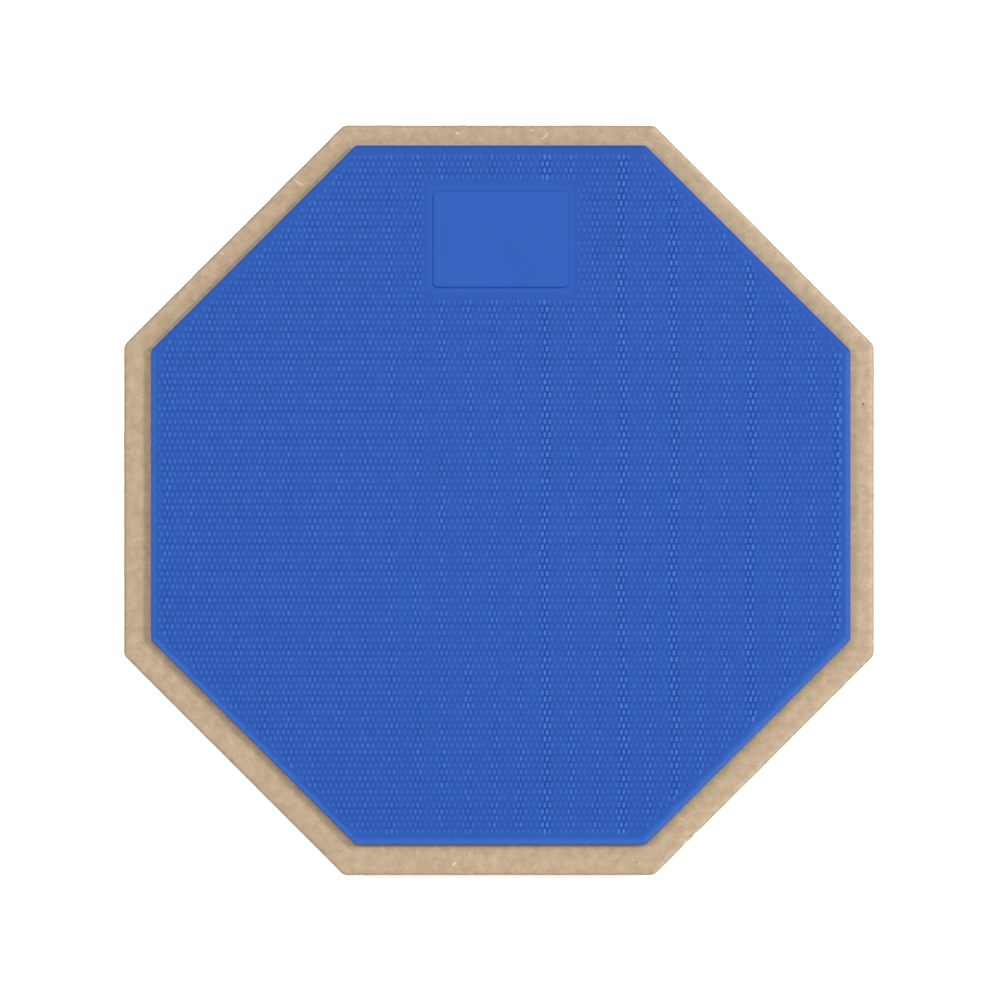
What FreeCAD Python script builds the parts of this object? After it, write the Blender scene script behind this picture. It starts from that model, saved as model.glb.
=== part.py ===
import FreeCAD, Part
import math
import os

# Octagonal drum practice pad, in millimetres, as it lies on a table with the playing face up.
# +Z points out of the playing face and +Y towards the edge that the name panel is near.
# The origin is the centre of the underside. From the table up, the layers are a black foam
# backing, a film of adhesive, a fibreboard base, a film of adhesive and a moulded rubber sheet.

# Base board: a regular octagon sawn from fibreboard, its corners and arrises sanded round
BOARD_ACROSS_FLATS = 305.0
BOARD_THICKNESS = 15.0
BOARD_CORNER_RADIUS = 4.0
BOARD_ARRIS_RADIUS = 1.6

# Playing surface: a rubber octagon moulded in one piece and glued on by hand, a little off centre
SURFACE_BORDER = 10.7
SURFACE_THICKNESS = 6.0
SURFACE_CORNER_RADIUS = 2.0
SURFACE_ARRIS_RADIUS = 1.2
SURFACE_SHIFT_X = 0.7
SURFACE_SHIFT_Y = 2.1

# Name panel: a plain raised rectangle moulded on the rubber near its far edge
PANEL_WIDTH = 55.0
PANEL_DEPTH = 39.0
PANEL_RISE = 0.15
PANEL_CORNER_RADIUS = 1.8
PANEL_EDGE_DISTANCE = 18.6

# Non-slip backing: soft foam that covers the flat of the board's underside
BACKING_THICKNESS = 3.0
BACKING_MARGIN = 0.6

# Adhesive films: spread short of the edge of the piece that they hold
SURFACE_FILM_THICKNESS = 0.3
BACKING_FILM_THICKNESS = 0.2
FILM_SETBACK = 0.8

# The sharpest corner that an inset outline is given
LEAST_CORNER_RADIUS = 0.3

# Heights of the layers, each standing on the one below
BACKING_FILM_Z = BACKING_THICKNESS
BOARD_Z = BACKING_FILM_Z + BACKING_FILM_THICKNESS
SURFACE_FILM_Z = BOARD_Z + BOARD_THICKNESS
SURFACE_Z = SURFACE_FILM_Z + SURFACE_FILM_THICKNESS
PANEL_Z = SURFACE_Z + SURFACE_THICKNESS

# Sizes across flats that follow from the board's
SURFACE_ACROSS_FLATS = BOARD_ACROSS_FLATS - 2 * SURFACE_BORDER
SURFACE_FILM_ACROSS_FLATS = SURFACE_ACROSS_FLATS - 2 * FILM_SETBACK
BACKING_INSET = BOARD_ARRIS_RADIUS + BACKING_MARGIN
BACKING_ACROSS_FLATS = BOARD_ACROSS_FLATS - 2 * BACKING_INSET
BACKING_FILM_ACROSS_FLATS = BACKING_ACROSS_FLATS - 2 * FILM_SETBACK

PARTS_FOLDER = "parts"


def octagon_slab(across_flats, corner_radius, bottom, thickness, centre=(0.0, 0.0)):
    """A flat regular octagon with two sides along X, its upright corners rounded."""
    corner_distance = across_flats / 2 / math.cos(math.pi / 8)
    corners = []
    for step in range(8):
        angle = math.pi / 8 + step * math.pi / 4
        x = centre[0] + corner_distance * math.cos(angle)
        y = centre[1] + corner_distance * math.sin(angle)
        corners.append(FreeCAD.Vector(x, y, bottom))
    outline = Part.makePolygon(corners + corners[:1])
    slab = Part.Face(outline).extrude(FreeCAD.Vector(0, 0, thickness))
    return slab.makeFillet(corner_radius, upright_edges(slab))


def inset_corner(corner_radius, inset):
    """The radius that keeps an inset outline parallel to the rounded corner outside it."""
    return max(corner_radius - inset, LEAST_CORNER_RADIUS)


def upright_edges(solid):
    """The edges that run straight up the solid's sides."""
    box = solid.BoundBox
    return [edge for edge in solid.Edges if edge.BoundBox.ZLength > 0.99 * box.ZLength]


def level_edges(solid, height):
    """The edges that lie flat at one height."""
    edges = []
    for edge in solid.Edges:
        lies_flat = edge.BoundBox.ZLength < 0.01
        at_height = abs(edge.BoundBox.Center.z - height) < 0.01
        if lies_flat and at_height:
            edges.append(edge)
    return edges


def base_board():
    board = octagon_slab(BOARD_ACROSS_FLATS, BOARD_CORNER_RADIUS, BOARD_Z, BOARD_THICKNESS)
    arrises = level_edges(board, BOARD_Z) + level_edges(board, BOARD_Z + BOARD_THICKNESS)
    return board.makeFillet(BOARD_ARRIS_RADIUS, arrises)


def name_panel():
    """The raised rectangle, its foot sunk in the sheet so that the two fuse into one moulding."""
    foot = SURFACE_THICKNESS / 2
    sheet_edge = SURFACE_SHIFT_Y + SURFACE_ACROSS_FLATS / 2
    corner = FreeCAD.Vector(
        SURFACE_SHIFT_X - PANEL_WIDTH / 2,
        sheet_edge - PANEL_EDGE_DISTANCE - PANEL_DEPTH,
        PANEL_Z - foot,
    )
    block = Part.makeBox(PANEL_WIDTH, PANEL_DEPTH, foot + PANEL_RISE, corner)
    return block.makeFillet(PANEL_CORNER_RADIUS, upright_edges(block))


def playing_surface():
    centre = (SURFACE_SHIFT_X, SURFACE_SHIFT_Y)
    sheet = octagon_slab(
        SURFACE_ACROSS_FLATS, SURFACE_CORNER_RADIUS, SURFACE_Z, SURFACE_THICKNESS, centre
    )
    sheet = sheet.makeFillet(SURFACE_ARRIS_RADIUS, level_edges(sheet, PANEL_Z))
    return sheet.fuse(name_panel()).removeSplitter()


def surface_adhesive():
    radius = inset_corner(SURFACE_CORNER_RADIUS, FILM_SETBACK)
    centre = (SURFACE_SHIFT_X, SURFACE_SHIFT_Y)
    return octagon_slab(
        SURFACE_FILM_ACROSS_FLATS, radius, SURFACE_FILM_Z, SURFACE_FILM_THICKNESS, centre
    )


def non_slip_backing():
    radius = inset_corner(BOARD_CORNER_RADIUS, BACKING_INSET)
    return octagon_slab(BACKING_ACROSS_FLATS, radius, 0.0, BACKING_THICKNESS)


def backing_adhesive():
    radius = inset_corner(BOARD_CORNER_RADIUS, BACKING_INSET + FILM_SETBACK)
    return octagon_slab(
        BACKING_FILM_ACROSS_FLATS, radius, BACKING_FILM_Z, BACKING_FILM_THICKNESS
    )


NODES = {
    "non_slip_backing": non_slip_backing,
    "backing_adhesive": backing_adhesive,
    "base_board": base_board,
    "surface_adhesive": surface_adhesive,
    "playing_surface": playing_surface,
}

os.makedirs(PARTS_FOLDER, exist_ok=True)
for node, make in NODES.items():
    shape = make()
    print(node, "solids", len(shape.Solids), "valid", shape.isValid(), "volume", round(shape.Volume))
    shape.exportStep(PARTS_FOLDER + "/" + node + ".step")
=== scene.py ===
import math
import bpy
import numpy as np
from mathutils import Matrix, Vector
from mathutils.geometry import delaunay_2d_cdt


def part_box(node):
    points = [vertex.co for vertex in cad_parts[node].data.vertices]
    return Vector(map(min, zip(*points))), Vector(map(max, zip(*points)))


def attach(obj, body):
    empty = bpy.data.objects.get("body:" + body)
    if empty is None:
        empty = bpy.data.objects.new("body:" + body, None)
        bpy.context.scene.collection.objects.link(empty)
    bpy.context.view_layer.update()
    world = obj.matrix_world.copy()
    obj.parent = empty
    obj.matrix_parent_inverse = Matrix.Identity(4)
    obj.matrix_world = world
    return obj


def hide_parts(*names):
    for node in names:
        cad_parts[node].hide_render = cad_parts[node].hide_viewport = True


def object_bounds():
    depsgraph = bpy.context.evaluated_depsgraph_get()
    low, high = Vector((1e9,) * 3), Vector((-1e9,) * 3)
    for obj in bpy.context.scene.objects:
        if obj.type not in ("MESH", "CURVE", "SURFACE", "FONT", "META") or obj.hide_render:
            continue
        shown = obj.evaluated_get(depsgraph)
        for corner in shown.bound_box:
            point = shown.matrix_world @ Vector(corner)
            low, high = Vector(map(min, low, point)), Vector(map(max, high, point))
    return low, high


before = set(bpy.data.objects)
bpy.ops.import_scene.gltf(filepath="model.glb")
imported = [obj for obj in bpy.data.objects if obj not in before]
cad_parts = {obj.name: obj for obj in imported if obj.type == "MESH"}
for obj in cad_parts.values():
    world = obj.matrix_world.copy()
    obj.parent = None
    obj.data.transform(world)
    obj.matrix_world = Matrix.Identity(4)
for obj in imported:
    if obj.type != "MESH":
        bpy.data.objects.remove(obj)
cad_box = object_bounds()


# ---------------------------------------------------------------------------------------------
# The view
# The pad lies on a pale studio floor and is seen from straight above, with the edge that the
# name panel is near at the top. A long lens keeps the board's sides out of sight.
# ---------------------------------------------------------------------------------------------

floor_gap = 0.0001
floor_height = cad_box[0][2] - floor_gap
board_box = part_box("base_board")
board_top = board_box[1][2]
board_width = board_box[1][0] - board_box[0][0]

sensor_width = 0.036
lens_length = 0.200
board_share_of_view = 0.7503
view_width = board_width / board_share_of_view
camera_offset = (0.0004, 0.0001)

camera_data = bpy.data.cameras.new("camera_above")
camera_data.sensor_width = sensor_width * 1000
camera_data.lens = lens_length * 1000
camera_data.clip_end = 20.0
camera = bpy.data.objects.new("camera_above", camera_data)
camera.location = (*camera_offset, board_top + view_width * lens_length / sensor_width)
bpy.context.scene.collection.objects.link(camera)
bpy.context.scene.camera = camera
bpy.context.scene.view_settings.view_transform = "Standard"


def aimed_lamp(name, azimuth, elevation, distance, size, level):
    """A square area lamp on a sphere round the pad, turned to face the pad's middle.

    The level is the share of a white surface's brightness that the lamp gives the playing face:
    a small lamp of power P at distance d lights it to P sin(elevation) / (pi d)^2.
    """
    flat = distance * math.cos(math.radians(elevation))
    rise = distance * math.sin(math.radians(elevation))
    place = Vector((
        flat * math.cos(math.radians(azimuth)),
        flat * math.sin(math.radians(azimuth)),
        rise,
    ))
    data = bpy.data.lights.new(name, "AREA")
    data.size = size
    data.energy = level * (math.pi * distance) ** 2 * distance / rise
    lamp = bpy.data.objects.new(name, data)
    lamp.location = place
    lamp.rotation_euler = (-place).to_track_quat("-Z", "Y").to_euler()
    bpy.context.scene.collection.objects.link(lamp)


aimed_lamp("right_lamp", azimuth=16, elevation=60, distance=3.2, size=0.50, level=0.26)
aimed_lamp("side_lamp", azimuth=0, elevation=24, distance=3.2, size=1.20, level=0.04)
aimed_lamp("left_lamp", azimuth=162, elevation=62, distance=3.2, size=0.50, level=0.14)
aimed_lamp("top_lamp", azimuth=90, elevation=78, distance=3.2, size=0.90, level=0.30)
aimed_lamp("front_lamp", azimuth=-90, elevation=34, distance=3.2, size=1.60, level=0.08)


def linked(tree, kind, **sockets):
    """A new node. Each named input is given a value, or another node's output to follow."""
    node = tree.nodes.new(kind)
    for name, value in sockets.items():
        socket = node.inputs[name.replace("_", " ")]
        if isinstance(value, bpy.types.NodeSocket):
            tree.links.new(value, socket)
        else:
            socket.default_value = value
    return node


def seen_directly(tree):
    """1 for a ray from the camera, a mirror or clear glass, and 0 for a ray that gathers light."""
    path = tree.nodes.new("ShaderNodeLightPath")
    direct = linked(tree, "ShaderNodeMath")
    direct.operation = "MAXIMUM"
    tree.links.new(path.outputs["Is Camera Ray"], direct.inputs[0])
    tree.links.new(path.outputs["Is Transmission Ray"], direct.inputs[1])
    either = linked(tree, "ShaderNodeMath")
    either.operation = "MAXIMUM"
    tree.links.new(direct.outputs[0], either.inputs[0])
    tree.links.new(path.outputs["Is Glossy Ray"], either.inputs[1])
    return either.outputs[0]


world = bpy.data.worlds.new("studio")
bpy.context.scene.world = world
world.use_nodes = True
world_tree = world.node_tree
dome_strength = 0.22
dome = world_tree.nodes["Background"]
dome.inputs["Color"].default_value = (1.0, 1.0, 1.0, 1.0)
level = linked(world_tree, "ShaderNodeMapRange", To_Min=dome_strength, To_Max=1.0)
world_tree.links.new(seen_directly(world_tree), level.inputs["Value"])
world_tree.links.new(level.outputs["Result"], dome.inputs["Strength"])

floor_half = 3.0
floor_glow = 0.70
floor_mesh = bpy.data.meshes.new("floor")
floor_signs = ((-1, -1), (1, -1), (1, 1), (-1, 1))
floor_corners = [(x * floor_half, y * floor_half, floor_height) for x, y in floor_signs]
floor_mesh.from_pydata(floor_corners, [], [(0, 1, 2, 3)])
floor = bpy.data.objects.new("floor", floor_mesh)
bpy.context.scene.collection.objects.link(floor)

floor_paint = bpy.data.materials.new("floor_paper")
floor_paint.use_nodes = True
floor_tree = floor_paint.node_tree
paper = floor_tree.nodes["Principled BSDF"]
paper.inputs["Base Color"].default_value = (0.78, 0.78, 0.77, 1.0)
paper.inputs["Roughness"].default_value = 0.9
paper.inputs["Specular IOR Level"].default_value = 0.1
paper.inputs["Emission Color"].default_value = (1.0, 1.0, 1.0, 1.0)
glow = linked(floor_tree, "ShaderNodeMath", Value=0.0)
glow.operation = "MULTIPLY"
floor_tree.links.new(seen_directly(floor_tree), glow.inputs[0])
glow.inputs[1].default_value = floor_glow
floor_tree.links.new(glow.outputs[0], paper.inputs["Emission Strength"])

# From below, the floor is clear, so that the backing shows
nothing = floor_tree.nodes.new("ShaderNodeBsdfTransparent")
paper_side = floor_tree.nodes.new("ShaderNodeNewGeometry")
paper_or_clear = floor_tree.nodes.new("ShaderNodeMixShader")
floor_tree.links.new(paper_side.outputs["Backfacing"], paper_or_clear.inputs["Fac"])
floor_tree.links.new(paper.outputs["BSDF"], paper_or_clear.inputs[1])
floor_tree.links.new(nothing.outputs["BSDF"], paper_or_clear.inputs[2])
floor_output = floor_tree.nodes["Material Output"]
floor_tree.links.new(paper_or_clear.outputs[0], floor_output.inputs["Surface"])
floor_mesh.materials.append(floor_paint)


# ---------------------------------------------------------------------------------------------
# Shapes and shader nodes that the sections below share
# Most solids here are a profile carried round a closed outline. Materials are built from noise
# that is laid through space, from mixed colours and from numbers held at the vertices.
# ---------------------------------------------------------------------------------------------

def rounded_outline(corner, half_turn, centres, corner_radius, corner_steps, side_steps):
    """A closed outline of round corners joined by straight sides: points and outward normals.

    Each corner is an arc about its centre, which turns by half_turn either way from the corner's
    own angle. The straight sides are divided evenly between the arcs.
    """
    turn = corner + np.linspace(-half_turn, half_turn, corner_steps + 1)
    arc_normals = np.stack([np.cos(turn), np.sin(turn)], axis=-1)
    arcs = centres + corner_radius * arc_normals
    share = np.linspace(0, 1, side_steps + 1)[1:-1, None]
    starts = arcs[:, -1][:, None]
    ends = np.roll(arcs[:, 0], -1, axis=0)[:, None]
    sides = starts + (ends - starts) * share
    side_normals = np.broadcast_to(arc_normals[:, -1][:, None], sides.shape)
    points = np.concatenate([arcs, sides], axis=1).reshape(-1, 2)
    normals = np.concatenate([arc_normals, side_normals], axis=1).reshape(-1, 2)
    return points, normals


def octagon_outline(across_flats, corner_radius, corner_steps, side_steps):
    """A rounded regular octagon about the origin, two of whose sides face along X."""
    centre_distance = (across_flats / 2 - corner_radius) / math.cos(math.pi / 8)
    corner = np.arange(8)[:, None] * math.pi / 4 + math.pi / 8
    centres = centre_distance * np.stack([np.cos(corner), np.sin(corner)], axis=-1)
    return rounded_outline(corner, math.pi / 8, centres, corner_radius, corner_steps, side_steps)


def rectangle_outline(width, depth, corner_radius, corner_steps, side_steps):
    """A rounded rectangle about the origin, with its width along X."""
    corner = np.arange(4)[:, None] * math.pi / 2 + math.pi / 4
    signs = np.stack([np.sign(np.cos(corner)), np.sign(np.sin(corner))], axis=-1)
    centres = signs * (width / 2 - corner_radius, depth / 2 - corner_radius)
    return rounded_outline(corner, math.pi / 4, centres, corner_radius, corner_steps, side_steps)


def swept_wall(outline, middle, profile, corner_radius):
    """A profile carried round an outline, as a grid of vertices [profile step, outline step].

    Each profile point is (inset, height). An inset up to most of the corners' radius moves the
    outline in along its normals, and the rest of it shrinks the outline towards the middle.
    """
    points, normals = outline
    inset = profile[:, 0][:, None, None]
    along = np.minimum(inset, 0.8 * corner_radius)
    moved = points[None] - along * normals[None]
    moved = moved * (1 - (inset - along) / (points.max() - along))
    height = np.broadcast_to(profile[:, 1][:, None, None], (*moved.shape[:2], 1))
    return np.concatenate([moved + middle, height], axis=-1)


def ring_faces(rows, columns, first=0):
    """The quads of a grid that closes on itself along its columns, as vertex numbers."""
    row = np.arange(rows - 1)[:, None]
    column = np.arange(columns)[None]
    after = (column + 1) % columns
    quads = np.stack([
        row * columns + column,
        row * columns + after,
        (row + 1) * columns + after,
        (row + 1) * columns + column,
    ], axis=-1)
    return quads.reshape(-1, 4) + first


def closed_faces(rows, columns, first=0):
    """The quads of such a grid and one flat face over its first row and one over its last."""
    first_row = list(range(first, first + columns))[::-1]
    last = first + (rows - 1) * columns
    last_row = list(range(last, last + columns))
    return ring_faces(rows, columns, first).tolist() + [first_row, last_row]


def quarter_round(radius, inset, height, start, end, steps):
    """Profile points on a quarter circle about (inset, height), from one angle to another."""
    angle = np.radians(np.linspace(start, end, steps + 1))
    return np.stack([inset - radius * np.cos(angle), height + radius * np.sin(angle)], axis=-1)


def new_piece(name, vertices, faces, material):
    """A smooth-shaded object at the origin that rides on the pad."""
    mesh = bpy.data.meshes.new(name)
    mesh.from_pydata(vertices.tolist(), [], faces)
    mesh.polygons.foreach_set("use_smooth", np.ones(len(mesh.polygons), dtype=bool))
    mesh.materials.append(material)
    mesh.validate()
    piece = bpy.data.objects.new(name, mesh)
    bpy.context.scene.collection.objects.link(piece)
    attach(piece, "root")
    return piece


def hold_value(piece, name, values):
    """Stores one number for each of a piece's vertices, for its material to read."""
    attribute = piece.data.attributes.new(name, "FLOAT", "POINT")
    attribute.data.foreach_set("value", np.ascontiguousarray(values, dtype=np.float32).ravel())


def grain_group():
    """Noise at one size: a value that changes over the surface, spread about a half."""
    group = bpy.data.node_groups.new("grain", "ShaderNodeTree")
    group.interface.new_socket("Scale", in_out="INPUT", socket_type="NodeSocketFloat")
    group.interface.new_socket("Detail", in_out="INPUT", socket_type="NodeSocketFloat")
    group.interface.new_socket("Contrast", in_out="INPUT", socket_type="NodeSocketFloat")
    group.interface.new_socket("Value", in_out="OUTPUT", socket_type="NodeSocketFloat")
    entry = group.nodes.new("NodeGroupInput")
    place = group.nodes.new("ShaderNodeTexCoord")
    noise = linked(
        group,
        "ShaderNodeTexNoise",
        Vector=place.outputs["Object"],
        Scale=entry.outputs["Scale"],
        Detail=entry.outputs["Detail"],
    )
    centred = linked(group, "ShaderNodeMath")
    centred.operation = "SUBTRACT"
    group.links.new(noise.outputs["Fac"], centred.inputs[0])
    centred.inputs[1].default_value = 0.5
    spread = linked(group, "ShaderNodeMath")
    spread.operation = "MULTIPLY_ADD"
    spread.use_clamp = True
    group.links.new(centred.outputs[0], spread.inputs[0])
    group.links.new(entry.outputs["Contrast"], spread.inputs[1])
    spread.inputs[2].default_value = 0.5
    leave = group.nodes.new("NodeGroupOutput")
    group.links.new(spread.outputs[0], leave.inputs["Value"])
    return group


grain = grain_group()


def grain_value(tree, scale, detail, contrast):
    """The grain group placed in a material with its own size and contrast."""
    node = tree.nodes.new("ShaderNodeGroup")
    node.node_tree = grain
    node.inputs["Scale"].default_value = scale
    node.inputs["Detail"].default_value = detail
    node.inputs["Contrast"].default_value = contrast
    return node.outputs["Value"]


def two_colours(tree, factor, low, high):
    """A colour that goes from low to high as the factor goes from 0 to 1."""
    mix = tree.nodes.new("ShaderNodeMix")
    mix.data_type = "RGBA"
    tree.links.new(factor, mix.inputs["Factor"])
    for name, colour in (("A", low), ("B", high)):
        socket = next(s for s in mix.inputs if s.name == name and s.type == "RGBA")
        if isinstance(colour, bpy.types.NodeSocket):
            tree.links.new(colour, socket)
        else:
            socket.default_value = (*colour, 1.0)
    return next(s for s in mix.outputs if s.type == "RGBA")


def product_of(tree, first, second):
    """Two colours multiplied, channel by channel."""
    mix = tree.nodes.new("ShaderNodeMix")
    mix.data_type = "RGBA"
    mix.blend_type = "MULTIPLY"
    mix.inputs["Factor"].default_value = 1.0
    colours = [s for s in mix.inputs if s.type == "RGBA"]
    tree.links.new(first, colours[0])
    tree.links.new(second, colours[1])
    return next(s for s in mix.outputs if s.type == "RGBA")


def new_material(name):
    """An empty material with its Principled shader, and the tree that the shader is in."""
    material = bpy.data.materials.new(name)
    material.use_nodes = True
    return material, material.node_tree, material.node_tree.nodes["Principled BSDF"]


def in_range(tree, value, from_min, from_max, to_min, to_max):
    """A value carried from one range to another, and held within it."""
    node = linked(
        tree, "ShaderNodeMapRange", Value=value,
        From_Min=from_min, From_Max=from_max, To_Min=to_min, To_Max=to_max,
    )
    return node.outputs["Result"]


def surface_value(tree, name):
    """A number that the mesh holds at each of its vertices."""
    node = tree.nodes.new("ShaderNodeAttribute")
    node.attribute_name = name
    return node.outputs["Fac"]


def raise_surface(tree, shader, height, distance, strength):
    """Turns a height that changes over the surface into the shader's normal."""
    bump = linked(tree, "ShaderNodeBump", Height=height, Distance=distance, Strength=strength)
    tree.links.new(bump.outputs["Normal"], shader.inputs["Normal"])


# ---------------------------------------------------------------------------------------------
# Non-slip backing
# A 3 mm sheet of black closed-cell foam, cut with a knife a little smaller than the board and
# stuck flat under it. Its cut edge shows fine cells, and its foot is worn slightly round.
# ---------------------------------------------------------------------------------------------

def foam_material():
    foam, tree, shader = new_material("black_foam")
    mottle = grain_value(tree, 160.0, 3.0, 2.0)
    colour = two_colours(tree, mottle, (0.014, 0.014, 0.015), (0.026, 0.026, 0.027))
    tree.links.new(colour, shader.inputs["Base Color"])
    shader.inputs["Specular IOR Level"].default_value = 0.25
    place = tree.nodes.new("ShaderNodeTexCoord")
    cells = linked(tree, "ShaderNodeTexVoronoi", Vector=place.outputs["Object"], Scale=1400.0)
    roughness = in_range(tree, mottle, 0.0, 1.0, 0.75, 0.95)
    tree.links.new(roughness, shader.inputs["Roughness"])
    raise_surface(tree, shader, cells.outputs["Distance"], 0.00025, 0.7)
    return foam


backing_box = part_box("non_slip_backing")
backing_low, backing_high = backing_box[0][2], backing_box[1][2]
backing_width = backing_box[1][0] - backing_box[0][0]
backing_height = backing_high - backing_low
backing_foot_radius = 0.0006
backing_corner_radius = 0.0018
backing_face_inset = 0.020

backing_profile = np.concatenate([
    [(backing_face_inset, backing_low)],
    quarter_round(
        backing_foot_radius, backing_foot_radius, backing_low + backing_foot_radius, -90, 0, 4
    ),
    [(0.00010, backing_low + 0.35 * backing_height)],
    [(0.00012, backing_low + 0.60 * backing_height)],
    [(0.00003, backing_low + 0.85 * backing_height)],
    [(0.0, backing_high)],
    [(backing_face_inset, backing_high)],
])
backing_outline = octagon_outline(backing_width, backing_corner_radius, 6, 60)
backing_wall = swept_wall(backing_outline, (0.0, 0.0), backing_profile, backing_corner_radius)
backing_faces = closed_faces(*backing_wall.shape[:2])
backing = new_piece("foam_backing", backing_wall.reshape(-1, 3), backing_faces, foam_material())
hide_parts("non_slip_backing")


# ---------------------------------------------------------------------------------------------
# Adhesive films
# Thin films of amber contact cement, rolled on and spread just short of the edges. One holds
# the rubber to the board, the other the foam, and only a dark slit at each edge shows them.
# ---------------------------------------------------------------------------------------------

def cement_material():
    cement, tree, shader = new_material("contact_cement")
    streaks = grain_value(tree, 220.0, 2.0, 2.5)
    colour = two_colours(tree, streaks, (0.20, 0.13, 0.05), (0.34, 0.23, 0.10))
    tree.links.new(colour, shader.inputs["Base Color"])
    tree.links.new(in_range(tree, streaks, 0.0, 1.0, 0.35, 0.6), shader.inputs["Roughness"])
    raise_surface(tree, shader, streaks, 0.0002, 0.5)
    return cement


cement = cement_material()
for film in ("surface_adhesive", "backing_adhesive"):
    film_mesh = bpy.data.objects[film].data
    film_mesh.materials.clear()
    film_mesh.materials.append(cement)


# ---------------------------------------------------------------------------------------------
# Base board
# A 15 mm octagon of bare medium-density fibreboard, sawn and then sanded. Its arrises and
# corners are rubbed round by hand, which leaves small chips, and short fibres stand out of it.
# Contact cement that was rolled on past the rubber has soaked in and stained it a little. Painted
# shade beside the rubber and a painted highlight on its right-facing arrises are laid into its
# colour.
# ---------------------------------------------------------------------------------------------

def board_material():
    board, tree, shader = new_material("bare_fibreboard")
    blotches = grain_value(tree, 290.0, 3.0, 2.6)
    cast = grain_value(tree, 260.0, 1.0, 3.6)
    pinkish = two_colours(tree, blotches, (0.520, 0.377, 0.252), (0.640, 0.470, 0.329))
    greenish = two_colours(tree, blotches, (0.507, 0.386, 0.241), (0.625, 0.479, 0.315))
    colour = two_colours(tree, cast, pinkish, greenish)
    flour = grain_value(tree, 1500.0, 4.0, 1.5)
    floury = two_colours(tree, flour, (0.90, 0.89, 0.87), (1.10, 1.11, 1.12))
    colour = product_of(tree, colour, floury)
    fibres = grain_value(tree, 700.0, 0.0, 1.8)
    dark_fibres = in_range(tree, fibres, 0.02, 0.12, 0.30, 0.0)
    colour = two_colours(tree, dark_fibres, colour, (0.38, 0.27, 0.17))
    # The first colour pair is cement stain with painted shade beside the rubber; the third is a
    # painted highlight on the right-facing arrises
    for name, low, high in (
        ("cement_stain_and_shade", (0.78, 0.74, 0.66), (0.88, 0.85, 0.78)),
        ("sawn", (0.80, 0.76, 0.70), (0.90, 0.87, 0.82)),
        ("right_arris_highlight", (1.18, 1.21, 1.28), (1.38, 1.43, 1.54)),
    ):
        changed = product_of(tree, colour, two_colours(tree, flour, low, high))
        colour = two_colours(tree, surface_value(tree, name), colour, changed)
    tree.links.new(colour, shader.inputs["Base Color"])
    tree.links.new(in_range(tree, flour, 0.0, 1.0, 0.75, 0.95), shader.inputs["Roughness"])
    shader.inputs["Specular IOR Level"].default_value = 0.2
    raise_surface(tree, shader, flour, 0.00015, 0.6)
    return board


arris_radius = 0.0016
board_corner_radius = 0.0040
board_face_inset = 0.0300
board_low, board_high = board_box[0][2], board_box[1][2]
arris_low = board_low + arris_radius
arris_high = board_high - arris_radius
sheet_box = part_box("playing_surface")
sheet_width = sheet_box[1][0] - sheet_box[0][0]
sheet_middle = np.array([
    (sheet_box[0][0] + sheet_box[1][0]) / 2,
    (sheet_box[0][1] + sheet_box[1][1]) / 2,
])

board_profile = np.concatenate([
    [(board_face_inset, board_low), (0.0060, board_low)],
    quarter_round(arris_radius, arris_radius, arris_low, -90, 0, 6),
    [(0.0, height) for height in np.linspace(arris_low, arris_high, 11)[1:-1]],
    quarter_round(arris_radius, arris_radius, arris_high, 0, 90, 8),
    [(inset, board_high) for inset in np.linspace(0.0022, 0.0166, 13)],
    [(board_face_inset, board_high)],
])
board_outline = octagon_outline(board_width, board_corner_radius, 8, 150)
board_wall = swept_wall(board_outline, (0.0, 0.0), board_profile, board_corner_radius)
board_rows, board_columns = board_wall.shape[:2]

# How far round the board each column is, in metres, from the far end of its right side
column_steps = np.diff(board_outline[0], axis=0, append=board_outline[0][:1])
column_gaps = np.linalg.norm(column_steps, axis=1)
round_board = np.cumsum(column_gaps) - column_gaps[0]
board_length = round_board[-1]


def wander(along, length, waves, seed):
    """A smooth random curve that joins up after the length: sines of whole wave counts."""
    draw = np.random.default_rng(seed)
    phase = draw.uniform(0, 2 * math.pi, len(waves))
    turns = 2 * math.pi * np.outer(along / length, waves)
    return np.sin(turns + phase).sum(axis=1) / math.sqrt(len(waves))


def dents(along, length, count, widths, depths, seed):
    """Dents at random places on a closed line: the deepest of a bell curve at each place."""
    draw = np.random.default_rng(seed)
    place = draw.uniform(0, length, count)
    width = draw.uniform(*widths, count)
    depth = draw.uniform(*depths, count)
    gap = np.abs(along[:, None] - place[None])
    gap = np.minimum(gap, length - gap)
    return (depth * np.exp(-(gap / width) ** 2)).max(axis=1)


# Wear takes most from the middle of each arris and fades out at wear_reach from where its sharp
# edge would be. Saw marks take a little from the sides.
wear_reach = 1.6 * arris_radius
wear_strength = 1.4
saw_mark_depth = 0.00002
row_inset = board_profile[:, 0][:, None]
row_height = board_profile[:, 1][:, None]
near_top = np.clip(1 - np.hypot(row_inset, row_height - board_high) / wear_reach, 0, 1)
near_foot = np.clip(1 - np.hypot(row_inset, row_height - board_low) / wear_reach, 0, 1)
rubbing = 0.00007 * (1 + wander(round_board, board_length, [5, 11, 23, 38, 61, 90], 1))
top_chips = dents(round_board, board_length, 90, (0.0004, 0.0014), (0.00005, 0.00040), 2)
foot_chips = dents(round_board, board_length, 140, (0.0004, 0.0020), (0.00005, 0.00060), 3)
worn = near_top * (rubbing + top_chips) * wear_strength
worn = worn + near_foot * (rubbing + foot_chips) * wear_strength
saw_marks = wander(round_board, board_length, [140, 233, 311, 402], 4)
on_side = (row_inset < 1e-6) * 1.0
worn = worn + on_side * saw_mark_depth * (1 + saw_marks)

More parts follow.
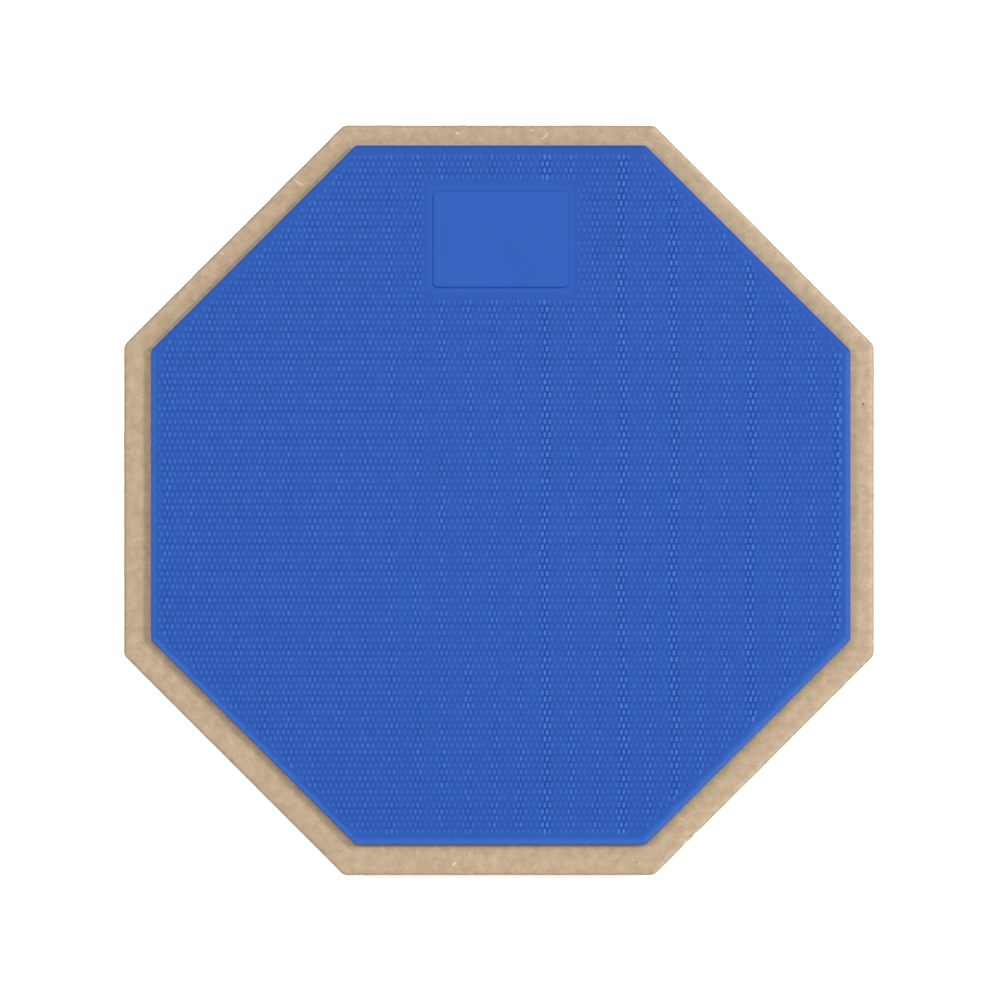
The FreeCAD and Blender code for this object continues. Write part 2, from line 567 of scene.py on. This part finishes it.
# One place on the near right side where the edge is torn out
torn_place = np.array([0.0772, -0.1380])
tear_depth = 0.00070
tear_width = 0.0032
tear_down_side = 0.0130
torn_column = np.linalg.norm(board_outline[0] - torn_place, axis=1).argmin()
from_torn = round_board - round_board[torn_column]
tear = tear_depth * np.exp(-(from_torn / tear_width) ** 2)
tear = tear * (1 + 0.4 * np.sin(from_torn / 0.00060))
tear_down = np.clip(1 - (board_high - row_height) / tear_down_side, 0, 1) * on_side
worn = worn + np.maximum(near_top, tear_down) * tear
push = board_outline[1][None] * worn[..., None]
board_wall[..., :2] -= push
board_wall[..., 2] -= 0.7 * (near_top - near_foot) * worn

# What the material reads: the cement that has soaked in beside the rubber, with painted shade there
# that is strongest on the lower left, and a darkening of the face along its near and left outer
# edges (stain); the darker fibre of the sides (sawn); and a painted highlight on the upper arris of
# the sides that face right (handled)
from_sheet = board_wall[..., :2] - sheet_middle
side_angles = np.arange(8) * math.pi / 4
side_directions = np.stack([np.cos(side_angles), np.sin(side_angles)])
past_sheet = (from_sheet @ side_directions).max(axis=-1) - sheet_width / 2
soak_and_shade_reach = 0.0042 + 0.0005 * wander(round_board, board_length, [3, 7, 16, 29], 5)
# The band beside the rubber is cement stain plus painted shade from the rubber's shadow, weighted
# towards the lower left
cement_stain_and_shade = np.clip(3 - 3 * past_sheet / soak_and_shade_reach, 0, 1)
shade_side_weight = np.clip(0.30 - board_outline[1] @ (0.14, 0.20), 0.12, 0.55)
near_left_darkening = np.clip(1.2 - row_inset / 0.0024, 0, 1) * np.clip(board_outline[1] @ (-0.35, -0.60), 0, 0.5)
cement_stain_and_shade = np.maximum(cement_stain_and_shade * shade_side_weight, near_left_darkening) * (row_height > board_high - 1e-6)
sawn = np.broadcast_to(np.clip(1 - row_inset / (0.6 * arris_radius), 0, 1), cement_stain_and_shade.shape)
# Painted highlight: the upper arris of the sides that face the right lamp is painted lighter
right_arris_highlight = near_top * np.clip(1.3 * board_outline[1][:, 0], 0, 1)

board_faces = closed_faces(board_rows, board_columns)
board = new_piece("fibreboard_base", board_wall.reshape(-1, 3), board_faces, board_material())
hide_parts("base_board")
hold_value(board, "cement_stain_and_shade", cement_stain_and_shade)
hold_value(board, "sawn", sawn)
hold_value(board, "right_arris_highlight", right_arris_highlight)


# ---------------------------------------------------------------------------------------------
# Raised fibres and bark specks
# Pale slivers of wood lifted from the board's face and left half stuck to it, each a flattened
# and slightly curved strand, pointed at both ends. Dark crumbs of bark lie between them.
# ---------------------------------------------------------------------------------------------

def slivers(places, headings, lengths, widths, bends, steps, sides):
    """Pointed tubes that lie on the board, as vertices [sliver, step along it, side].

    The middle line is a parabola of the given bend; the section is a flattened circle whose
    size follows a half sine from end to end.
    """
    along = np.linspace(-0.5, 0.5, steps)
    swell = np.cos(math.pi * along) * 0.96 + 0.04
    line_x = lengths[:, None] * along
    line_y = bends[:, None] * (1 - 4 * along ** 2)
    turn = np.arange(sides) * 2 * math.pi / sides
    across = widths[:, None, None] / 2 * swell[None, :, None] * np.cos(turn)
    up = widths[:, None, None] / 4 * (0.6 + swell[None, :, None] * np.sin(turn))
    x = np.broadcast_to(line_x[..., None], across.shape)
    y = line_y[..., None] + across
    cos, sin = np.cos(headings)[:, None, None], np.sin(headings)[:, None, None]
    return np.stack([
        places[:, 0][:, None, None] + cos * x - sin * y,
        places[:, 1][:, None, None] + sin * x + cos * y,
        board_high + up,
    ], axis=-1)


def sliver_faces(count, steps, sides):
    """The faces of all the tubes, each closed at both ends."""
    faces = []
    for number in range(count):
        faces += closed_faces(steps, sides, number * steps * sides)
    return faces


def fibre_material():
    fibre, tree, shader = new_material("pale_fibre")
    streaks = grain_value(tree, 2400.0, 2.0, 2.0)
    colour = two_colours(tree, streaks, (0.78, 0.62, 0.42), (0.92, 0.80, 0.60))
    tree.links.new(colour, shader.inputs["Base Color"])
    shader.inputs["Roughness"].default_value = 0.7
    raise_surface(tree, shader, streaks, 0.0001, 0.4)
    return fibre


# Slivers that show on the face: (x, y), heading in degrees, length and width
shown_slivers = np.array([
    (-0.0814, 0.1292, -34, 0.0056, 0.0008),
    (-0.1128, 0.1004, -25, 0.0024, 0.0007),
    (-0.0169, 0.1490, 10, 0.0018, 0.0013),
    (0.0183, 0.1480, 43, 0.0054, 0.0006),
    (0.0135, 0.1502, 2, 0.0030, 0.0005),
    (-0.0183, -0.1477, 42, 0.0026, 0.0010),
    (0.0758, -0.1389, 47, 0.0046, 0.0007),
    (0.0783, -0.1366, 54, 0.0050, 0.0008),
    (0.0806, -0.1343, 43, 0.0034, 0.0005),
])
draw = np.random.default_rng(11)
stray_count = 34
stray_column = draw.integers(0, board_columns, stray_count)
stray_inset = draw.uniform(0.0022, 0.0085, stray_count)[:, None]
stray_place = board_outline[0][stray_column] - stray_inset * board_outline[1][stray_column]
places = np.concatenate([shown_slivers[:, :2], stray_place])
stray_heading = draw.uniform(0, math.pi, stray_count)
headings = np.concatenate([np.radians(shown_slivers[:, 2]), stray_heading])
lengths = np.concatenate([shown_slivers[:, 3], draw.uniform(0.0006, 0.0018, stray_count)])
widths = np.concatenate([shown_slivers[:, 4], draw.uniform(0.00012, 0.00028, stray_count)])
bends = lengths * draw.uniform(-0.12, 0.12, len(lengths))
sliver_steps, sliver_sides = 9, 8
sliver_grid = slivers(places, headings, lengths, widths, bends, sliver_steps, sliver_sides)
fibre_faces = sliver_faces(len(places), sliver_steps, sliver_sides)
fibres = new_piece("raised_fibres", sliver_grid.reshape(-1, 3), fibre_faces, fibre_material())


def bark_material():
    bark, tree, shader = new_material("bark_speck")
    streaks = grain_value(tree, 1800.0, 2.0, 2.0)
    colour = two_colours(tree, streaks, (0.12, 0.078, 0.048), (0.22, 0.150, 0.095))
    tree.links.new(colour, shader.inputs["Base Color"])
    shader.inputs["Roughness"].default_value = 0.85
    return bark


# Crumbs of bark in the board, the same shape as the slivers but short, dark and nearly sunk in
bark_steps = 5
bark_rise = 0.15
bark_count = 16
bark_column = draw.integers(0, board_columns, bark_count)
bark_inset = draw.uniform(0.0020, 0.0100, bark_count)[:, None]
bark_place = board_outline[0][bark_column] - bark_inset * board_outline[1][bark_column]
shown_bark = np.array([(0.1480, 0.0391), (-0.0131, -0.1441), (0.0560, -0.1470)])
bark_place = np.concatenate([shown_bark, bark_place])
bark_length = np.concatenate([(0.0013, 0.0008, 0.0007), draw.uniform(0.0002, 0.0006, bark_count)])
bark_width = bark_length * draw.uniform(0.5, 0.9, len(bark_length))
bark_heading = draw.uniform(0, math.pi, len(bark_length))
bark_bend = np.zeros_like(bark_length)
bark_grid = slivers(
    bark_place, bark_heading, bark_length, bark_width, bark_bend, bark_steps, sliver_sides
)
bark_grid[..., 2] = board_high + bark_rise * (bark_grid[..., 2] - board_high)
bark_faces = sliver_faces(len(bark_place), bark_steps, sliver_sides)
bark = new_piece("bark_specks", bark_grid.reshape(-1, 3), bark_faces, bark_material())


# ---------------------------------------------------------------------------------------------
# Playing surface
# One sheet of blue rubber, moulded with a plain rim, a field of small oval studs in staggered
# rows and a plain name panel, then glued to the board by hand, slightly off its middle.
# ---------------------------------------------------------------------------------------------

sheet_low = sheet_box[0][2]
stud_height = 0.00030
panel_rise = 0.00015
sheet_face = sheet_box[1][2] - panel_rise
sheet_corner_radius = 0.0020
sheet_arris_radius = 0.0012

stud_pitch = 0.00214
row_pitch = 0.00268
# Least distance from a stud to each side of the sheet, from the right side round to the near
# right one
rim_width = np.array([0.0029, 0.0024, 0.0029, 0.0024, 0.0029, 0.0024, 0.0029, 0.0029])
field_middle = sheet_middle + (-0.0004, 0.0003)
panel_width = 0.055
panel_depth = 0.039
panel_edge_distance = 0.0186
panel_margin = 0.0022
panel_middle = sheet_middle + (0.0, sheet_width / 2 - panel_edge_distance - panel_depth / 2)

sheet_profile = np.concatenate([
    [(0.00015, sheet_low)],
    [(0.0, sheet_low + 0.0003)],
    [(0.0, sheet_face - 2.2 * sheet_arris_radius)],
    quarter_round(
        sheet_arris_radius, sheet_arris_radius, sheet_face - sheet_arris_radius, 0, 90, 8
    ),
])
sheet_outline = octagon_outline(sheet_width, sheet_corner_radius, 6, 32)
sheet_wall = swept_wall(sheet_outline, sheet_middle, sheet_profile, sheet_corner_radius)
wall_rows, wall_columns = sheet_wall.shape[:2]

# The studs' cells are hexagons that fill the field. Cells are counted in half pitches along X
# (column) and in rows along Y; a cell exists where column and row are both even or both odd.
tip_reach = (stud_pitch ** 2 / 4 + row_pitch ** 2) / (2 * row_pitch)
half_columns = int(sheet_width / stud_pitch) + 2
half_rows = int(sheet_width / row_pitch / 2) + 2
column, row = np.meshgrid(
    np.arange(-half_columns, half_columns + 1), np.arange(-half_rows, half_rows + 1), indexing="ij"
)
cell_place = field_middle + np.stack([column * stud_pitch / 2, row * row_pitch], axis=-1)
stud_half = np.array([0.00042, 0.00126])
stud_reach = np.linalg.norm(stud_half[:, None] * side_directions, axis=0)
reach = ((cell_place - field_middle) @ side_directions + stud_reach + rim_width).max(axis=-1)
inside_rim = reach < sheet_width / 2
from_panel = np.abs(cell_place - panel_middle)
clear_x = from_panel[..., 0] > panel_width / 2 + panel_margin + stud_pitch / 2
clear_y = from_panel[..., 1] > panel_depth / 2 + panel_margin + row_pitch / 2
is_stud = ((column + row) % 2 == 0) & inside_rim & (clear_x | clear_y)

# Corners of the cells: between rows the corners zigzag, a tip of the row below next to a tip of
# the row above, so each corner has the column and row number of a point on the same grid.
corner_up = np.where((column + row) % 2 == 0, tip_reach, row_pitch - tip_reach)
corner_place = cell_place + np.stack([np.zeros_like(corner_up), corner_up], axis=-1)
grid_index = np.arange(column.size).reshape(column.shape)
stud_column, stud_row = np.nonzero(is_stud)
cell_corners = np.stack([
    grid_index[stud_column, stud_row - 1],
    grid_index[stud_column + 1, stud_row - 1],
    grid_index[stud_column + 1, stud_row],
    grid_index[stud_column, stud_row],
    grid_index[stud_column - 1, stud_row],
    grid_index[stud_column - 1, stud_row - 1],
], axis=-1)
used, cell_corners = np.unique(cell_corners, return_inverse=True)
cell_corners = cell_corners.reshape(-1, 6)
valley = corner_place.reshape(-1, 2)[used]
valley_row = row.ravel()[used]
stud_place = cell_place[stud_column, stud_row]
stud_count = len(stud_place)

# The studs crowd together and stand tall in upright bands. The bands are faint in the left third,
# clearer to the right of it, and a few are clearer than the rest. Every fourth row of grooves is
# given a little painted shade.
band_pitch = 0.01042
band_start = -0.0021
clearest_bands = (2, 5, 7, 10, 13)
first_two_end, first_two_step = -0.1190, 0.0031
last_three_start, last_three_step = 0.1050, 0.0039
lean_width, lean_length = 0.0005, 0.130
clear_start, clear_length = -0.056, 0.030
swell_length = 0.057
row_band = 4


def stud_heights(places):
    """The studs' share of full height at each place, their shift along X, and the bands' clarity.

    Between bands the share is a plain level. Each band adds a cosine crest, raised to the power
    2.2, and the shift follows a sine that draws the studs towards the middle of their band.
    The first two and last three bands stand further right than the even pitch puts them. All
    of them wander a little and come and go along their length.
    """
    last_step = last_three_step * np.clip((places[:, 0] - last_three_start) / 0.0120, 0, 1)
    first_step = first_two_step * np.clip((first_two_end - places[:, 0]) / 0.0040, 0, 1)
    lean = lean_width * np.sin(2 * math.pi * places[:, 1] / lean_length)
    turn = (places[:, 0] - (last_step + first_step) - lean - band_start) / band_pitch
    band = np.round(turn)
    past_third = np.clip((places[:, 0] - clear_start) / clear_length, 0, 1)
    clear = past_third * past_third * (3 - 2 * past_third)
    rise = 0.20 + 0.17 * clear + 0.34 * np.isin(band, clearest_bands)
    rise = rise * (1 + 0.15 * np.sin(2 * math.pi * (places[:, 1] / swell_length + 0.37 * band)))
    crest = (0.5 + 0.5 * np.cos(2 * math.pi * turn)) ** 2.2
    share = 0.47 - 0.07 * clear + rise * crest
    return share, -(0.00006 + 0.00018 * clear) * np.sin(2 * math.pi * turn), clear


draw = np.random.default_rng(7)
height_share, crowding, stud_clear = stud_heights(stud_place)
height_share = np.clip(height_share * (1 + draw.uniform(-0.42, 0.24, stud_count)), 0.15, 1.2)
crowding = crowding + draw.normal(0, 0.00004, stud_count)

ring_corner = 0.00074
ring_shape = np.array([
    (0.0, -stud_half[1]),
    (stud_half[0], -ring_corner),
    (stud_half[0], ring_corner),
    (0.0, stud_half[1]),
    (-stud_half[0], ring_corner),
    (-stud_half[0], -ring_corner),
])
ring = stud_place[:, None] + ring_shape[None]
ring[..., 0] += crowding[:, None]
tips = stud_place + np.stack([crowding, np.zeros(stud_count)], axis=-1)
shoulder_share = 0.76
ring_z = sheet_face + stud_height * shoulder_share * height_share
tip_z = sheet_face + stud_height * height_share

# The name panel: a rounded rectangle with a fine groove at its foot, deeper at its near and
# left edges, and a soft slope up to its face
panel_corner_radius = 0.0018
groove_depth = 0.00028
panel_outline = rectangle_outline(panel_width, panel_depth, panel_corner_radius, 6, 24)
# Each step of the panel's edge: inset, share of the groove's depth, share of the panel's rise
panel_edge = np.array([
    (-0.00060, 0.0, 0.0),
    (-0.00022, 1.0, 0.0),
    (0.00002, 1.0, 0.0),
    (0.00030, 0.0, 0.60),
    (0.00055, 0.0, 0.95),
    (0.00090, 0.0, 1.0),
])
panel_wall = swept_wall(panel_outline, panel_middle, panel_edge[:, :2], panel_corner_radius)
toward_near_left = panel_outline[1] @ (-0.55, -0.9)
groove_share = np.clip(0.22 + 0.85 * toward_near_left, 0.28, 1.0)
panel_wall[..., 2] = (
    sheet_face
    - groove_depth * panel_edge[:, 1][:, None] * groove_share[None]
    + panel_rise * panel_edge[:, 2][:, None]
)
panel_rows, panel_columns = panel_wall.shape[:2]

# All the sheet's vertices in one list: side wall, valley corners, shoulders, tips, panel
wall_flat = sheet_wall.reshape(-1, 3)
valley_first = len(wall_flat)
ring_first = valley_first + len(valley)
tip_first = ring_first + 6 * stud_count
panel_first = tip_first + stud_count
valley_3d = np.column_stack([valley, np.full(len(valley), sheet_face)])
ring_heights = np.broadcast_to(ring_z[:, None, None], (stud_count, 6, 1))
ring_3d = np.concatenate([ring, ring_heights], axis=-1)
tips_3d = np.column_stack([tips, tip_z])
sheet_vertices = np.concatenate([
    wall_flat, valley_3d, ring_3d.reshape(-1, 3), tips_3d, panel_wall.reshape(-1, 3)
])

# Faces of the studs: six quads from valley to shoulder, six triangles from shoulder to tip
step = np.arange(6)
following = (step + 1) % 6
stud = np.arange(stud_count)[:, None]
outer = cell_corners + valley_first
inner = ring_first + 6 * stud + step
slope_faces = np.stack([outer, outer[:, following], inner[:, following], inner], axis=-1)
tip = np.broadcast_to(tip_first + stud, inner.shape)
cap_faces = np.stack([inner, inner[:, following], tip], axis=-1)

# The plain rubber between the studs, the rim and the panel is filled with triangles, whose
# edges keep the rim's and the panel's outlines and the outermost cell walls
edge_start = cell_corners.ravel()
edge_end = cell_corners[:, following].ravel()
edge_key = edge_start * len(valley) + edge_end
reverse_key = edge_end * len(valley) + edge_start
is_border = ~np.isin(edge_key, reverse_key)
border_points, border = np.unique(
    np.stack([edge_start[is_border], edge_end[is_border]], axis=-1), return_inverse=True
)
border = border.reshape(-1, 2)


def closed_loop(count, first):
    """The edges of a loop of numbered points."""
    number = np.arange(count)
    return np.stack([number, (number + 1) % count], axis=-1) + first


rim_index = np.arange(wall_columns) + (wall_rows - 1) * wall_columns
panel_index = np.arange(panel_columns) + panel_first
plain_index = np.concatenate([rim_index, border_points + valley_first, panel_index])
plain_edges = np.concatenate([
    closed_loop(wall_columns, 0),
    border + wall_columns,
    closed_loop(panel_columns, wall_columns + len(border_points)),
])
plain_points = sheet_vertices[plain_index, :2]
in_millimetres = (plain_points - sheet_middle) * 1000
filled = delaunay_2d_cdt(
    [Vector(point) for point in in_millimetres.tolist()], plain_edges.tolist(), [], 0, 1e-6, True
)
source = np.array([numbers[0] for numbers in filled[3]])
plain_triangles = source[np.array(filled[2])]
first_edge = in_millimetres[plain_triangles[:, 1]] - in_millimetres[plain_triangles[:, 0]]
second_edge = in_millimetres[plain_triangles[:, 2]] - in_millimetres[plain_triangles[:, 0]]
doubled_area = first_edge[:, 0] * second_edge[:, 1] - first_edge[:, 1] * second_edge[:, 0]
plain_triangles = plain_triangles[np.abs(doubled_area) > 1e-4]

# Of those triangles, keep the ones that lie in no stud's cell and not in the panel
middles = plain_points[plain_triangles].mean(axis=1)
half_panel = np.array([panel_width, panel_depth]) / 2
past_corner = np.abs(middles - panel_middle) - half_panel + panel_corner_radius
past_panel = np.linalg.norm(np.maximum(past_corner, 0), axis=1) - panel_corner_radius
past_panel += np.minimum(past_corner.max(axis=1), 0)
in_panel = past_panel < -panel_edge[0, 0]
near_column = np.round((middles[:, 0] - field_middle[0]) / (stud_pitch / 2)).astype(int)
near_row = np.round((middles[:, 1] - field_middle[1]) / row_pitch).astype(int)
least_gap = np.full(len(middles), np.inf)
in_stud = np.zeros(len(middles), dtype=bool)
for row_step in (-1, 0, 1):
    for column_step in (-1, 0, 1):
        column_there = near_column + column_step + half_columns
        row_there = near_row + row_step + half_rows
        gap = np.linalg.norm(middles - cell_place[column_there, row_there], axis=1)
        exists = (column_there - half_columns + row_there - half_rows) % 2 == 0
        nearer = exists & (gap < least_gap)
        least_gap = np.where(nearer, gap, least_gap)
        in_stud = np.where(nearer, is_stud[column_there, row_there], in_stud)
plain_faces = plain_index[plain_triangles[~in_panel & ~in_stud]]

sheet_faces = ring_faces(wall_rows, wall_columns).tolist()
sheet_faces.append(list(range(wall_columns))[::-1])
sheet_faces += slope_faces.reshape(-1, 4).tolist()
sheet_faces += cap_faces.reshape(-1, 3).tolist()
sheet_faces += plain_faces.tolist()
sheet_faces += ring_faces(panel_rows, panel_columns, panel_first).tolist()
panel_last = panel_first + panel_columns * (panel_rows - 1)
sheet_faces.append(list(range(panel_last, panel_last + panel_columns)))

# Painted shade and sheen: how bright the rubber is painted at each vertex. It runs from painted
# shade in the grooves between the studs (0), through the plain rubber (0.5), to the studs' tips
# (1). The tips are lighter from wear and from a painted highlight that grows with the stud's
# height.
plain_shade_level = 0.5
row_band_shade = 0.06
border_share = 0.8
valley_share = stud_heights(valley)[0]
valley_shade = plain_shade_level * (1 - 0.62 * valley_share - 0.34 * valley_share ** 2)
valley_shade = np.clip(valley_shade - row_band_shade * (valley_row % row_band == 0), 0, 1)
# Valley corners along the field's border get a little painted shade
on_border = np.isin(np.arange(len(valley)), border_points)
valley_shade = np.where(on_border, border_share * plain_shade_level, valley_shade)
# Taller studs get lighter tips: wear together with a painted highlight
tip_highlight = plain_shade_level + 0.50 * (height_share - 0.16)
# In the left third each shoulder gets painted shade at its two ends and a painted highlight along
# its sides, which makes the rows stand out; to the right of it the columns do
end_or_side = np.array([-0.09, 0.035, 0.035, -0.09, 0.035, 0.035])
end_or_side = end_or_side * (1 - 0.75 * stud_clear[:, None])
shoulder_shading = (plain_shade_level * 0.76 + 0.20 * height_share[:, None] + end_or_side).ravel()
# Painted shade in the panel's groove, deepest at its near and left edges
groove_shade = plain_shade_level * (1 - 0.7 * panel_edge[:, 1][:, None] * groove_share[None])
# Painted sheen on the rim: lighter on the near side and on the left and right sides, darker on the
# far side
rim_sides = np.abs(sheet_outline[1][:, 0])
rim_sheen = plain_shade_level + 0.01 + sheet_outline[1] @ (0.015, -0.12) + 0.085 * rim_sides
rim_sheen = np.broadcast_to(rim_sheen, (wall_rows, wall_columns)).ravel()
shade_and_sheen = np.concatenate([rim_sheen, valley_shade, shoulder_shading, tip_highlight, groove_shade.ravel()])


def rubber_material():
    rubber, tree, shader = new_material("blue_rubber")
    mottle = grain_value(tree, 40.0, 2.0, 1.4)
    plain = two_colours(tree, mottle, (0.0130, 0.0970, 0.452), (0.0155, 0.1020, 0.472))
    shade_and_sheen_there = surface_value(tree, "shade_and_sheen")
    shade_share = in_range(tree, shade_and_sheen_there, 0.0, plain_shade_level, 0.0, 1.0)
    highlight_share = in_range(tree, shade_and_sheen_there, plain_shade_level, 1.0, 0.0, 1.0)
    # Painted shade: the dark colour of the grooves between the studs
    colour = two_colours(tree, shade_share, (0.001, 0.024, 0.235), plain)
    # Painted highlight and sheen: the light colour of the stud tips and the rim's arris
    colour = two_colours(tree, highlight_share, colour, (0.090, 0.222, 0.705))
    tree.links.new(colour, shader.inputs["Base Color"])
    tree.links.new(in_range(tree, shade_and_sheen_there, 0.0, 1.0, 0.66, 0.50), shader.inputs["Roughness"])
    shader.inputs["Specular IOR Level"].default_value = 0.22
    raise_surface(tree, shader, grain_value(tree, 3000.0, 2.0, 1.0), 0.00003, 0.5)
    return rubber


sheet = new_piece("rubber_playing_sheet", sheet_vertices, sheet_faces, rubber_material())
hold_value(sheet, "shade_and_sheen", shade_and_sheen)
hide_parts("playing_surface")

# The rim, the floors of the grooves and the foot of the panel face straight up, so that the
# studs' slopes don't shade the plain rubber beside them
normals = np.empty(len(sheet_vertices) * 3, dtype=np.float32)
sheet.data.vertices.foreach_get("normal", normals)
normals = normals.reshape(-1, 3)
faces_up = np.concatenate([rim_index, np.arange(valley_first, ring_first), panel_index])
normals[faces_up] = (0.0, 0.0, 1.0)
sheet.data.normals_split_custom_set_from_vertices(normals.tolist())
